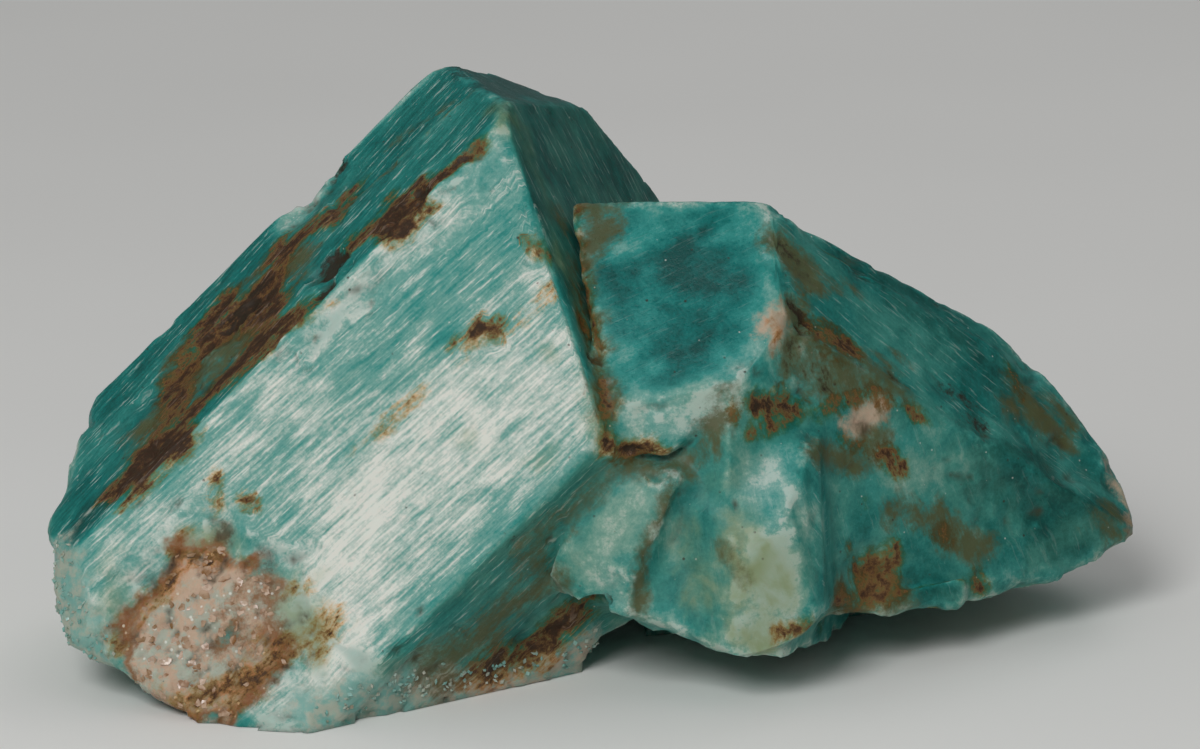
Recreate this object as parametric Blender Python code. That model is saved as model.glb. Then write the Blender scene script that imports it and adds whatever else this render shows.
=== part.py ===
"""A rough amazonite: a thick crystal leaning up to the right, grown together with a lower group of
crystals whose wing runs out to the right. Its left end and foot are broken, and its edges are worn.
Sizes are in millimetres until the last step, which sets the solid down on z = 0 in metres."""

import math
from collections import namedtuple

import bmesh
import bpy
from mathutils import Matrix, Vector, geometry, noise

MM = 0.001
NODE = "amazonite"

# A face looks along a heading (degrees anticlockwise from +X, seen from above) and a rise above the
# horizontal, and it lies so many millimetres out from its crystal's centre.
Face = namedtuple("Face", "heading rise out")
Crystal = namedtuple("Crystal", "centre smooth broken")

# The long axis of the main crystal, which its streaks, ledges and pits follow.
AXIS_HEADING = 18.5
AXIS_RISE = 41.8

# The faces that the ledges and pits are cut into.
FRONT = Face(-99.0, 27.5, 6.7)
UPPER = Face(-149.5, 47.5, 7.3)
LOWER = Face(-55.0, -17.5, 13.7)
TOP_BACK = Face(129.5, 22.0, 9.5)
BACK = Face(81.0, -27.5, 9.6)
WING_TOP = Face(-38.0, 33.0, 4.5)
WING_FRONT = Face(-58.5, 7.5, 5.3)
WING_BACK = Face(81.5, 2.0, 9.85)

MAIN = Crystal(
    centre=(-10, 2, 15),
    smooth=[
        FRONT,
        UPPER,
        LOWER,
        Face(-17, 27.5, 10.9),
        Face(18.5, 70, 14.7),
        TOP_BACK,
        BACK,
        Face(61.5, 38, 16.6),
        # Worn edges between the front and its neighbours.
        Face(-58, 34.5, 10.65),
        Face(-76, 5.5, 11.8),
        Face(-120.5, 40, 7.5),
        Face(0, -90, 15),
    ],
    broken=[
        Face(3.5, -47, 16.85),
        Face(168.5, 0, 16.55),
        Face(-138, 6, 17.6),
        Face(-159, -58.5, 20.25),
        Face(178.5, -15, 19.2),
    ],
)

SHOULDER = Crystal(
    centre=(4, 4, 18),
    smooth=[
        Face(-99, 40.5, 6.55),
        Face(87, 56.5, 3.1),
        Face(8, -3, 4.4),
        # It runs into the wing just below the wing's top and front.
        Face(-38, 33, 8.45),
        Face(-58.5, 7.5, 10.15),
        Face(0, -40.5, 3.35),
        Face(-89.5, 5, 10.4),
        Face(167, -21, 2.45),
        Face(-35, -21.5, 8.5),
        Face(-90, -88, 5.8),
        Face(81.5, 2, 11.35),
    ],
    broken=[],
)

WING = Crystal(
    centre=(15, 4, 12),
    smooth=[
        Face(-99, 40.5, 11.65),
        WING_TOP,
        WING_FRONT,
        Face(-120.5, 10.5, 14.05),
        Face(87, 56.5, 7.65),
        Face(62.5, 54, 5.7),
        Face(31.5, 40, 7.15),
        Face(25.5, 32.5, 8.15),
        Face(15.5, 8, 11.85),
        WING_BACK,
        Face(-153.5, 35, 13.6),
        Face(-179.5, 14, 10.8),
        Face(163, -5, 15.35),
        Face(0, -90, 12),
    ],
    broken=[
        Face(-10.5, -64.5, 12.15),
        Face(-76.5, -81, 9.75),
    ],
)

LIP = Crystal(
    centre=(16, -2.5, 3.5),
    smooth=[
        Face(-65, 5.5, 0.65),
        Face(120, 43.5, 0.3),
        Face(16.5, -2.5, 3.2),
        Face(-171.5, 11, 5.25),
        Face(78.5, 2, 10.1),
    ],
    broken=[
        Face(-105.5, -82, 0.55),
    ],
)

KNEE = Crystal(
    centre=(8, 1, 7),
    smooth=[
        Face(-98.5, 34.5, 9.1),
        Face(-120.5, 10.5, 9.25),
        Face(-80.5, 6.5, 9.95),
        Face(-39.5, 13.5, 7.75),
        Face(-13, 6.5, 5.1),
        Face(78.5, 2, 8.55),
        Face(-144, 9, 9.6),
        Face(-179.5, 12.5, 5.45),
        Face(-169.5, 84.5, 6.2),
        Face(0, -90, 7),
    ],
    broken=[
        Face(-148, -70, 6.05),
        Face(-43, -78, 5.3),
        Face(-151.5, -67.5, 6.2),
        Face(-4, -46.5, 4.35),
    ],
)

NOOK = Crystal(
    centre=(8, 0, 8),
    smooth=[
        Face(-100, 21.5, 8.95),
        Face(-107.5, 1, 10.5),
        Face(-78.5, 75.5, 5.3),
        Face(-40, -8, 1.25),
        Face(148, 17, 4.4),
        Face(90, -16, 6.1),
        Face(0, -90, 8),
    ],
    broken=[
        Face(-164.5, -59, 8.1),
        Face(-153.5, -70, 6.8),
    ],
)

HEART = Crystal(
    centre=(7, 2, 8),
    smooth=[
        Face(-87, 22, 8.6),
        Face(-90, 88.5, 7.1),
        Face(178, 7.5, 6.2),
        Face(-16, 11, 4.2),
        Face(81, -10, 7.7),
        Face(0, -90, 8),
    ],
    broken=[
        Face(-167.5, -74.5, 5.55),
    ],
)

FOOT = Crystal(
    centre=(10, 8, 3),
    smooth=[
        Face(56.5, 78.5, 1.85),
        Face(0, -90, 3),
    ],
    broken=[
        Face(-72, 5, 2.85),
        Face(-172, -4.5, 8.55),
        Face(-11, -16, 9.0),
        Face(81, -10, 4.0),
    ],
)

# Small six-sided crystals on the back: centre, axis heading and rise, radius, half length, turn.
Prism = namedtuple("Prism", "centre heading rise radius half_length turn")
BACK_PRISMS = [
    Prism((1.5, 11.0, 8.0), 22, 38, 3.9, 7.4, 12),
    Prism((12.5, 12.0, 6.2), 158, 18, 3.4, 6.0, 5),
    Prism((20.0, 10.0, 4.4), 30, 12, 2.6, 4.2, 20),
]

# The back crystals stop this far above the floor.
PRISM_LIFT = 0.5

# Ledges are flat steps: centre on the face, the face, how far they are turned from the main axis,
# length along and width across, depth, and whether the floor of the step is broken.
Ledge = namedtuple("Ledge", "centre face turn length width depth broken")
LEDGES = [
    # The strip of the upper face that lies a step lower, behind a line that runs with the axis.
    Ledge((-9.6, 6.3, 27.2), UPPER, -2, 13.0, 4.4, 0.32, False),
    Ledge((-15.0, 5.9, 22.7), UPPER, 6, 3.8, 2.2, 0.55, True),
    Ledge((-21.6, 0.2, 15.0), UPPER, -3, 8.0, 1.7, 0.25, True),
    # The stained, chipped patch low on the front, in two depths with a lip between them.
    Ledge((-19.6, -7.3, 8.6), FRONT, -38, 4.4, 2.8, 0.22, True),
    Ledge((-19.3, -9.9, 4.2), FRONT, -36, 10.4, 8.4, 0.48, True),
    Ledge((-14.6, -11.4, 2.0), FRONT, -44, 6.5, 4.0, 0.3, True),
    # Steps on the lower right face and on the foot of the front.
    Ledge((-2.0, -5.4, 4.4), LOWER, 4, 9.0, 2.2, 0.35, True),
    Ledge((-9.5, -10.6, 1.2), LOWER, 3, 7.5, 2.4, 0.4, True),
    # A low step that runs up the front beside its upper edge.
    Ledge((-9.2, -1.6, 22.2), FRONT, -1, 13.0, 1.5, 0.14, True),
    # Growth steps on the wing.
    Ledge((16.4, 4.6, 18.6), WING_TOP, -68, 16.0, 3.0, 0.3, False),
    Ledge((24.6, 3.0, 10.6), WING_TOP, -72, 6.5, 2.6, 0.25, True),
    Ledge((13.6, -4.1, 5.2), WING_FRONT, -40, 3.2, 3.4, 0.3, True),
    Ledge((20.4, 0.3, 8.2), WING_FRONT, -66, 9.0, 2.2, 0.2, True),
    # Steps on the far side.
    Ledge((-6.0, 13.0, 21.5), BACK, 0, 44.0, 7.0, 0.7, False),
    Ledge((-15.0, 8.6, 11.5), BACK, 5, 12.0, 6.0, 0.5, True),
    Ledge((-14.5, 8.0, 21.0), TOP_BACK, -3, 9.0, 3.4, 0.4, True),
    Ledge((12.0, 13.6, 15.5), WING_BACK, -38, 40.0, 6.0, 0.6, False),
    Ledge((20.0, 12.8, 6.5), WING_BACK, -20, 9.0, 7.0, 0.8, True),
]

# Pits are small hollows: centre, the face, turn from the main axis, length, width and depth.
Pit = namedtuple("Pit", "centre face turn length width depth")
PITS = [
    Pit((-6.8, -0.3, 26.3), UPPER, 0, 2.4, 0.7, 0.55),
    Pit((-9.9, -0.8, 23.7), UPPER, -2, 3.2, 1.1, 0.7),
    Pit((-14.0, -0.9, 20.4), UPPER, 3, 2.2, 1.2, 0.8),
    Pit((-13.6, 5.8, 23.8), UPPER, -40, 2.0, 1.2, 1.0),
    Pit((-17.6, 1.2, 18.3), UPPER, 0, 3.4, 0.9, 0.45),
    Pit((-18.9, -1.6, 15.6), UPPER, 2, 2.6, 0.8, 0.5),
    Pit((-22.6, -4.4, 11.9), UPPER, 0, 3.6, 0.9, 0.45),
    Pit((-5.8, -4.6, 18.3), FRONT, -12, 1.4, 0.5, 0.3),
    Pit((-3.1, -2.9, 22.3), FRONT, 40, 0.9, 0.6, 0.3),
    Pit((0.9, -6.6, 12.6), FRONT, -50, 2.2, 0.9, 0.8),
    Pit((4.0, -6.7, 12.9), FRONT, -40, 2.6, 0.7, 0.7),
    Pit((7.0, -5.2, 15.6), WING_FRONT, 30, 1.3, 0.7, 0.45),
    Pit((9.6, -4.1, 15.0), WING_FRONT, -40, 2.6, 0.8, 0.5),
    Pit((12.9, -3.1, 12.4), WING_FRONT, 35, 1.5, 0.8, 0.5),
    Pit((10.3, -3.6, 18.4), WING_TOP, -75, 1.8, 0.7, 0.4),
    Pit((23.2, 2.4, 12.4), WING_TOP, -70, 2.4, 0.7, 0.4),
]

# Bites out of the broken rims: centre and three half sizes.
Bite = namedtuple("Bite", "centre half_sizes turn")
BITES = [
    Bite((-24.6, -8.6, 1.2), (1.5, 1.3, 0.9), 20),
    Bite((-20.6, -12.4, 0.2), (1.3, 1.0, 0.6), 50),
    Bite((-15.0, -12.9, 0.4), (0.9, 0.9, 0.5), 10),
    Bite((-11.2, -12.4, 0.3), (1.6, 0.9, 0.6), 15),
    Bite((-5.4, -9.6, 0.4), (1.5, 1.2, 0.8), 35),
    Bite((-1.6, -6.2, 1.2), (1.4, 1.1, 0.8), 60),
    Bite((-28.0, -1.5, 9.5), (0.9, 1.5, 1.4), 10),
    Bite((-27.6, 2.5, 4.0), (1.2, 1.8, 1.2), 70),
    Bite((19.6, -1.2, 2.5), (0.9, 1.1, 0.7), 30),
    Bite((24.6, 1.8, 3.2), (1.0, 0.9, 0.5), 75),
    Bite((27.0, 5.4, 7.2), (0.7, 0.8, 0.6), 15),
    Bite((22.4, 6.4, 13.9), (1.0, 0.8, 0.6), 45),
]

# Corners round the outline of a broken step.
RAGGED_CORNERS = 9

# How far apart the corners of the mesh stand, and how far a broken face leaves its plane.
SMOOTH_SPACING = 3.4
BROKEN_SPACING = 1.05
EDGE_CLEARANCE = 0.55
BROKEN_RELIEF = 0.42
TERRACE_HEIGHT = 0.22
NOISE_SIZE = 2.3
# Only the flat resting faces reach the floor: rough corners stay this far above it.
FLOOR_CLEARANCE = 0.06

SAME_POINT = 1e-4
SAME_PLANE = 0.02
SAME_DIRECTION = 0.9996

AMAZONITE_COLOUR = (0.16, 0.50, 0.44, 1.0)
AMAZONITE_ROUGHNESS = 0.42


def clear_scene():
    """Removes whatever the scene holds."""
    for obj in list(bpy.data.objects):
        bpy.data.objects.remove(obj, do_unlink=True)


def direction(heading, rise):
    """Unit vector along a heading and a rise in degrees."""
    turn, lift = math.radians(heading), math.radians(rise)
    return Vector((math.cos(lift) * math.cos(turn), math.cos(lift) * math.sin(turn), math.sin(lift)))


def object_from(bm, name):
    """Links a new object that holds the given bmesh."""
    mesh = bpy.data.meshes.new(name)
    bm.to_mesh(mesh)
    bm.free()
    obj = bpy.data.objects.new(name, mesh)
    bpy.context.scene.collection.objects.link(obj)
    return obj


def cut_block(name, centre, faces, size=90.0):
    """A block cut down by planes to the convex body that the faces enclose."""
    centre = Vector(centre)
    bm = bmesh.new()
    bmesh.ops.create_cube(bm, size=size, matrix=Matrix.Translation(centre))
    for face in faces:
        normal = direction(face.heading, face.rise)
        cut = bmesh.ops.bisect_plane(
            bm, geom=bm.verts[:] + bm.edges[:] + bm.faces[:], dist=SAME_POINT,
            plane_co=centre + normal * face.out, plane_no=normal, clear_outer=True)
        rim = [item for item in cut["geom_cut"] if isinstance(item, bmesh.types.BMEdge)]
        if len(rim) > 2:
            bmesh.ops.contextual_create(bm, geom=rim)
    bmesh.ops.remove_doubles(bm, verts=bm.verts[:], dist=SAME_POINT)
    bmesh.ops.recalc_face_normals(bm, faces=bm.faces[:])
    return object_from(bm, name)


def on_face(face, point):
    """The point of a face's plane that lies nearest to a given point."""
    host = MAIN if face in MAIN.smooth else WING
    out = direction(face.heading, face.rise)
    offset = Vector(point) - Vector(host.centre)
    return Vector(point) + out * (face.out - offset.dot(out))


def face_basis(face, turn):
    """Axes that lie along the main axis in a face, across it, and out of the face."""
    out = direction(face.heading, face.rise)
    along = direction(AXIS_HEADING, AXIS_RISE)
    along = (along - out * along.dot(out)).normalized()
    along = Matrix.Rotation(math.radians(turn), 3, out) @ along
    return along, out.cross(along), out


def placed(axes, centre):
    """Matrix that puts a shape made on X, Y and Z on the given axes and centre."""
    matrix = Matrix(axes).transposed().to_4x4()
    return Matrix.Translation(Vector(centre)) @ matrix


def cut_prism(prism):
    """A six-sided crystal with uneven sides and a slanting cap at each end."""
    axis = direction(prism.heading, prism.rise)
    side = axis.cross(Vector((0, 0, 1))).normalized()
    faces = []
    for step in range(6):
        normal = Matrix.Rotation(math.radians(60 * step + prism.turn), 3, axis) @ side
        faces.append((normal, prism.radius * (1.0 if step % 3 else 0.78)))
    for end, lean in ((1, 0.35), (-1, -0.25)):
        faces.append(((axis * end + side * lean).normalized(), prism.half_length))
    faces.append((Vector((0, 0, -1)), prism.centre[2] - PRISM_LIFT))
    as_faces = []
    for normal, out in faces:
        heading = math.degrees(math.atan2(normal.y, normal.x))
        as_faces.append(Face(heading, math.degrees(math.asin(normal.z)), out))
    return cut_block("prism", prism.centre, as_faces)


def ledge_outline(ledge):
    """Corners of a step in its own face: a plain strip, or a ragged ring where it is broken."""
    if not ledge.broken:
        x, y = ledge.length / 2, ledge.width / 2
        return [Vector((-x, -y)), Vector((x, -y)), Vector((x, y)), Vector((-x, y))]
    corners = []
    for step in range(RAGGED_CORNERS):
        turn = 2 * math.pi * step / RAGGED_CORNERS
        seed = Vector((math.cos(turn) * 2, math.sin(turn) * 2, 0)) + Vector(ledge.centre)
        reach = 0.56 + 0.22 * noise.noise(seed)
        corners.append(Vector((math.cos(turn) * ledge.length, math.sin(turn) * ledge.width)) * reach)
    return corners


def ledge_cutter(ledge, broken):
    """A flat slab sunk into a face, with sides that open outwards a little. The floor and sides of
    a broken step are added to the list of broken planes."""
    above = 3.0
    spread = 1.35
    outline = ledge_outline(ledge)
    bm = bmesh.new()
    low = [bm.verts.new((corner.x, corner.y, -ledge.depth)) for corner in outline]
    high = [bm.verts.new((corner.x * spread, corner.y * spread, above)) for corner in outline]
    bm.faces.new(low[::-1])
    bm.faces.new(high)
    for index in range(len(outline)):
        after = (index + 1) % len(outline)
        bm.faces.new((low[index], low[after], high[after], high[index]))
    bm.transform(placed(face_basis(ledge.face, ledge.turn), on_face(ledge.face, ledge.centre)))
    bm.normal_update()
    if ledge.broken:
        broken.extend((face.calc_center_median(), -face.normal) for face in bm.faces)
    return object_from(bm, "ledge")


def pit_cutter(pit):
    """A faceted hollow, longest along the streaks."""
    bm = bmesh.new()
    bmesh.ops.create_icosphere(bm, subdivisions=1, radius=1.0)
    bm.transform(Matrix.Diagonal((pit.length / 2, pit.width / 2, pit.depth, 1)))
    bm.transform(placed(face_basis(pit.face, pit.turn), on_face(pit.face, pit.centre)))
    return object_from(bm, "pit")


def bite_cutter(bite):
    """A faceted lump that is taken out of a rim."""
    bm = bmesh.new()
    bmesh.ops.create_icosphere(bm, subdivisions=1, radius=1.0)
    bm.transform(Matrix.Diagonal((*bite.half_sizes, 1)))
    turn = Matrix.Rotation(math.radians(bite.turn), 4, Vector((0.3, 0.2, 1)))
    bm.transform(Matrix.Translation(Vector(bite.centre)) @ turn)
    return object_from(bm, "bite")


def combine(base, others, operation):
    """Joins or cuts other objects with the base, which keeps the result."""
    for other in others:
        step = base.modifiers.new(operation, "BOOLEAN")
        step.operation = operation
        step.solver = "EXACT"
        step.object = other
    depsgraph = bpy.context.evaluated_depsgraph_get()
    result = bpy.data.meshes.new_from_object(base.evaluated_get(depsgraph))
    base.modifiers.clear()
    base.data = result
    for other in others:
        bpy.data.objects.remove(other, do_unlink=True)


def broken_planes(crystals):
    """Point and outward normal of every crystal face that is a fracture."""
    planes = []
    for crystal in crystals:
        for face in crystal.broken:
            normal = direction(face.heading, face.rise)
            planes.append((Vector(crystal.centre) + normal * face.out, normal))
    return planes


def is_broken(face, planes):
    """Whether a face of the joined body lies on one of the fracture planes."""
    centre = face.calc_center_median()
    for point, normal in planes:
        if face.normal.dot(normal) > SAME_DIRECTION and abs((centre - point).dot(normal)) < SAME_PLANE:
            return True
    return False


def split_edges(bm, planes):
    """Puts corners along every edge at the spacing of the finer of its two faces."""
    broken = {face.index for face in bm.faces if is_broken(face, planes)}
    for edge in bm.edges[:]:
        fine = any(face.index in broken for face in edge.link_faces)
        spacing = BROKEN_SPACING if fine else SMOOTH_SPACING
        pieces = max(1, round(edge.calc_length() / spacing))
        start = edge.verts[0]
        for left in range(pieces, 1, -1):
            piece, start = bmesh.utils.edge_split(edge, start, 1.0 / left)
            edge = next(rest for rest in start.link_edges if rest is not piece)
    return broken


def inner_points(outline, spacing):
    """Points of a slightly shaken triangular lattice that lie well inside an outline."""
    xs = [point.x for point in outline]
    ys = [point.y for point in outline]
    row_height = spacing * math.sqrt(3) / 2
    points = []
    rows = int((max(ys) - min(ys)) / row_height) + 1
    columns = int((max(xs) - min(xs)) / spacing) + 2
    for row in range(rows):
        for column in range(columns):
            x = min(xs) + (column + 0.5 * (row % 2)) * spacing
            y = min(ys) + (row + 0.5) * row_height
            shake = noise.noise_vector(Vector((x, y, spacing))) * spacing * 0.25
            point = Vector((x + shake.x, y + shake.y))
            if inside(point, outline) and clearance(point, outline) > EDGE_CLEARANCE * spacing:
                points.append(point)
    return points


def inside(point, outline):
    """Whether a point lies inside a closed outline."""
    count = 0
    for start, end in zip(outline, outline[1:] + outline[:1]):
        if (start.y > point.y) != (end.y > point.y):
            crossing = start.x + (point.y - start.y) * (end.x - start.x) / (end.y - start.y)
            count += crossing > point.x
    return count % 2 == 1


def clearance(point, outline):
    """Distance from a point to the nearest side of an outline."""
    nearest = math.inf
    for start, end in zip(outline, outline[1:] + outline[:1]):
        side = end - start
        share = max(0.0, min(1.0, (point - start).dot(side) / max(side.length_squared, 1e-12)))
        nearest = min(nearest, (point - start - side * share).length)
    return nearest


def mesh_face(face, spacing, corners, triangles):
    """Fills one flat face with triangles at a spacing, and returns its inner corners."""
    normal = face.normal
    across = normal.orthogonal().normalized()
    up = normal.cross(across)
    origin = face.verts[0].co
    outline = []
    for loop in face.loops:
        offset = loop.vert.co - origin
        outline.append(Vector((offset.dot(across), offset.dot(up))))
    extra = inner_points(outline, spacing)
    rim = [(index, (index + 1) % len(outline)) for index in range(len(outline))]
    found = geometry.delaunay_2d_cdt(
        outline + extra, rim, [list(range(len(outline)))], 1, 1e-6)
    positions, faces, origins = found[0], found[2], found[3]
    rim_ids = [loop.vert.index for loop in face.loops]
    ids = []
    inner_ids = []
    for position, sources in zip(positions, origins):
        rim_sources = [source for source in sources if source < len(outline)]
        if rim_sources:
            ids.append(rim_ids[rim_sources[0]])
        else:
            ids.append(len(corners))
            inner_ids.append(len(corners))
            corners.append(origin + across * position.x + up * position.y)
    for triangle in faces:
        triangles.append(tuple(ids[index] for index in triangle))
    return inner_ids


def fracture(point):
    """How far a broken face stands out of its plane at a point: soft lumps cut into terraces."""
    lumps = noise.fractal(point / NOISE_SIZE, 0.8, 2.0, 3)
    terraces = round(noise.noise(point / (NOISE_SIZE * 1.6) + Vector((7, 3, 1))) * 2.2) * TERRACE_HEIGHT
    return max(-BROKEN_RELIEF, min(BROKEN_RELIEF, 0.5 * lumps + terraces))


def kept_in(planes, move):
    """The part of a move that stays within all the given smooth faces."""
    if len(planes) > 2:
        return Vector()
    if len(planes) == 2:
        line = planes[0].cross(planes[1])
        if line.length < 0.2:
            return Vector()
        line.normalize()
        return line * move.dot(line)
    if len(planes) == 1:
        return move - planes[0] * move.dot(planes[0])
    return move


def add_new_normal(normals, normal):
    """Adds a normal to a list unless the list has it already."""
    if all(normal.dot(known) < SAME_DIRECTION for known in normals):
        normals.append(normal.copy())


def remesh(body, planes):
    """Triangles of even size on every face, with the broken faces roughened."""
    bm = bmesh.new()
    bm.from_mesh(body.data)
    bmesh.ops.remove_doubles(bm, verts=bm.verts[:], dist=0.004)
    bmesh.ops.dissolve_degenerate(bm, edges=bm.edges[:], dist=0.004)
    bmesh.ops.dissolve_limit(
        bm, angle_limit=math.radians(0.3), verts=bm.verts[:], edges=bm.edges[:])
    bm.faces.index_update()
    broken = split_edges(bm, planes)
    bm.verts.index_update()
    bm.normal_update()
    corners = [vert.co.copy() for vert in bm.verts]
    smooth_normals = [[] for _vert in corners]
    broken_normals = [[] for _vert in corners]
    triangles = []
    for face in bm.faces:
        is_rough = face.index in broken
        spacing = BROKEN_SPACING if is_rough else SMOOTH_SPACING
        inner = mesh_face(face, spacing, corners, triangles)
        smooth_normals.extend([] for _corner in inner)
        broken_normals.extend([] for _corner in inner)
        kept = broken_normals if is_rough else smooth_normals
        for index in [vert.index for vert in face.verts] + inner:
            add_new_normal(kept[index], face.normal)
    bm.free()
    moved = []
    for index, corner in enumerate(corners):
        move = Vector()
        if broken_normals[index]:
            out = sum(broken_normals[index], Vector()).normalized()
            move = kept_in(smooth_normals[index], out * fracture(corner))
        place = corner + move
        if corner.z > SAME_PLANE:
            place.z = max(place.z, FLOOR_CLEARANCE)
        moved.append(place)
    body.data.clear_geometry()
    body.data.from_pydata(moved, [], triangles)
    body.data.validate()


def set_down(body):
    """Stands the body on z = 0 with its box centred on the origin, in metres."""
    places = [vert.co for vert in body.data.vertices]
    middle_x = (min(p.x for p in places) + max(p.x for p in places)) / 2
    middle_y = (min(p.y for p in places) + max(p.y for p in places)) / 2
    lowest = min(p.z for p in places)
    body.data.transform(Matrix.Translation((-middle_x, -middle_y, -lowest)))
    body.data.transform(Matrix.Diagonal((MM, MM, MM, 1)))


def amazonite_material():
    """Blue-green feldspar with a waxy shine."""
    material = bpy.data.materials.new("amazonite")
    material.use_nodes = True
    shader = material.node_tree.nodes["Principled BSDF"]
    shader.inputs["Base Color"].default_value = AMAZONITE_COLOUR
    shader.inputs["Roughness"].default_value = AMAZONITE_ROUGHNESS
    shader.inputs["Metallic"].default_value = 0.0
    return material


def build():
    """The whole specimen as one solid."""
    clear_scene()
    crystals = [MAIN, SHOULDER, WING, LIP, KNEE, NOOK, HEART, FOOT]
    solids = [cut_block("crystal", c.centre, c.smooth + c.broken) for c in crystals]
    prisms = [cut_prism(prism) for prism in BACK_PRISMS]
    body = solids[0]
    body.name = NODE
    combine(body, solids[1:] + prisms, "UNION")
    broken = broken_planes(crystals)
    cutters = [ledge_cutter(ledge, broken) for ledge in LEDGES]
    cutters += [pit_cutter(pit) for pit in PITS]
    cutters += [bite_cutter(bite) for bite in BITES]
    combine(body, cutters, "DIFFERENCE")
    remesh(body, broken)
    set_down(body)
    body.data.materials.clear()
    body.data.materials.append(amazonite_material())


build()
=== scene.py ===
"""Dresses a rough amazonite specimen: a fine worn mesh in place of the faceted solid, mica flakes and
cleavage grains on its broken patches, and a plain pale stage."""

import math
from collections import namedtuple

import bmesh
import bpy
import numpy as np
from bpy.props import FloatProperty, FloatVectorProperty, IntProperty, PointerProperty
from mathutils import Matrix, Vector, bvhtree, kdtree, noise


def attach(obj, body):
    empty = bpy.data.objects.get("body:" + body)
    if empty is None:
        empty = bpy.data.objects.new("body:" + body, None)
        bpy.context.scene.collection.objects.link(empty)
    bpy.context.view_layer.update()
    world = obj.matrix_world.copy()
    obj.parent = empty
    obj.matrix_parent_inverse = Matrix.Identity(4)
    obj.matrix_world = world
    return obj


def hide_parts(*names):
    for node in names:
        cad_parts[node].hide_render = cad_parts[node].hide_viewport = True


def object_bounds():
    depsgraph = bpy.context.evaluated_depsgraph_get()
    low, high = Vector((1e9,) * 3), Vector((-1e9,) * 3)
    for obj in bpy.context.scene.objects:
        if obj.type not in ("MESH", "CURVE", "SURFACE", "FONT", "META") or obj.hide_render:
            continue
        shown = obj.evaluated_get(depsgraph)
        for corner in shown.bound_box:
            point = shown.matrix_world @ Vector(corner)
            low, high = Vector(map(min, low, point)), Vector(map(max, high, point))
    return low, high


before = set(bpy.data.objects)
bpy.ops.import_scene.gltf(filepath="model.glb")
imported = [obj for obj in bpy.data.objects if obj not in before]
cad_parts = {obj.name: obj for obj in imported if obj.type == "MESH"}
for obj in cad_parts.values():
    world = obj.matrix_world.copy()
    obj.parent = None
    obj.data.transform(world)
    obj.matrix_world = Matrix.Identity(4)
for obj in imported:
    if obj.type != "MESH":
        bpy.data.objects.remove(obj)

bl_info = {
    "name": "Rough Amazonite",
    "version": (1, 0, 0),
    "blender": (4, 5, 0),
    "location": "View3D > Sidebar > Amazonite",
    "description": "Makes a rough amazonite specimen and a plain stage for it",
    "category": "Add Mesh",
}

MM = 0.001
NODE = "amazonite"
BODY = "root"
CAD_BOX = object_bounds()

# The show view. A pixel of the 1200 by 749 frame is SHOW_PIXEL mm wide in the plane through the target.
FRAME_WIDTH = 1200
FRAME_HEIGHT = 749
SHOW_PIXEL = 0.0512
SHOW_DISTANCE = 300.0
SHOW_RISE = 16.0
SHOW_TARGET = Vector((0.0, -2.3, 14.9))
SENSOR = 36.0

# The main crystal: its centre in mm, its long axis as heading and rise in degrees, and its faces as
# heading, rise and distance out from the centre.
MAIN_CENTRE = Vector((-10.02, -0.3, 15.0))
MAIN_AXIS = (18.5, 41.8)
MAIN_FACES = [
    (-99.0, 27.5, 6.7), (-149.5, 47.5, 7.3), (-55.0, -17.5, 13.7), (-17.0, 27.5, 10.9),
    (18.5, 70.0, 14.7), (129.5, 22.0, 9.5), (81.0, -27.5, 9.6), (61.5, 38.0, 16.6),
]
INSIDE_MAIN = 0.45

# A facing is a crystal face's own look: the group of crystals it is on, the heading and rise that it
# faces, the angle of its streaks above the horizontal in the show view (None where they follow the main
# axis), how strongly it is streaked, its tone from clear teal, 0, to milky, 1, how green it is, and how
# matt.
Facing = namedtuple("Facing", "group heading rise streaks streaky tone green matt")
FACINGS = [Facing(*row) for row in (
    # The front's high milky tone is partly its silky white lamellae and partly a painted sheen.
    ("main", -99.0, 27.5, 42, 1.0, 0.72, 0.05, 0.62),
    ("main", -149.5, 47.5, 48, 0.9, 0.26, 0.10, 0.45),
    ("main", -55.0, -17.5, 43, 0.9, 0.42, 0.35, 0.50),
    ("main", -17.0, 27.5, 117, 0.5, 0.16, 0.30, 0.42),
    ("main", 18.5, 70.0, 150, 0.4, 0.02, 0.00, 0.40),
    ("main", 61.5, 38.0, None, 0.7, 0.30, 0.10, 0.45),
    ("main", 129.5, 22.0, None, 0.9, 0.42, 0.15, 0.48),
    ("main", 81.0, -27.5, None, 0.9, 0.50, 0.20, 0.50),
    ("main", 168.5, 0.0, 42, 0.3, 0.55, 0.35, 0.55),
    ("main", -138.0, 6.0, 42, 0.3, 0.58, 0.35, 0.55),
    ("main", 0.0, -90.0, None, 0.3, 0.60, 0.25, 0.55),
    ("group", -99.0, 40.5, 25, 0.12, 0.52, 0.00, 0.32),
    ("group", -89.5, 5.0, 30, 0.1, 0.68, 0.20, 0.50),
    ("group", -38.0, 33.0, 141, 0.4, 0.32, 0.20, 0.40),
    ("group", -58.5, 7.5, 110, 0.15, 0.42, 0.30, 0.42),
    ("group", -98.5, 34.5, 106, 0.2, 0.62, 0.00, 0.52),
    ("group", -120.5, 10.5, 100, 0.15, 0.46, 0.40, 0.50),
    ("group", -80.5, 6.5, 104, 0.15, 0.70, 0.60, 0.50),
    ("group", -100.0, 21.5, 50, 0.1, 0.46, 0.35, 0.52),
    ("group", 87.0, 56.5, 141, 0.4, 0.36, 0.15, 0.45),
    ("group", 31.5, 40.0, 141, 0.4, 0.32, 0.10, 0.45),
    ("group", 15.5, 8.0, 141, 0.3, 0.36, 0.05, 0.45),
    ("group", 81.5, 2.0, None, 0.6, 0.42, 0.25, 0.50),
    ("group", 0.0, -90.0, None, 0.2, 0.55, 0.30, 0.50),
)]

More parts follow.
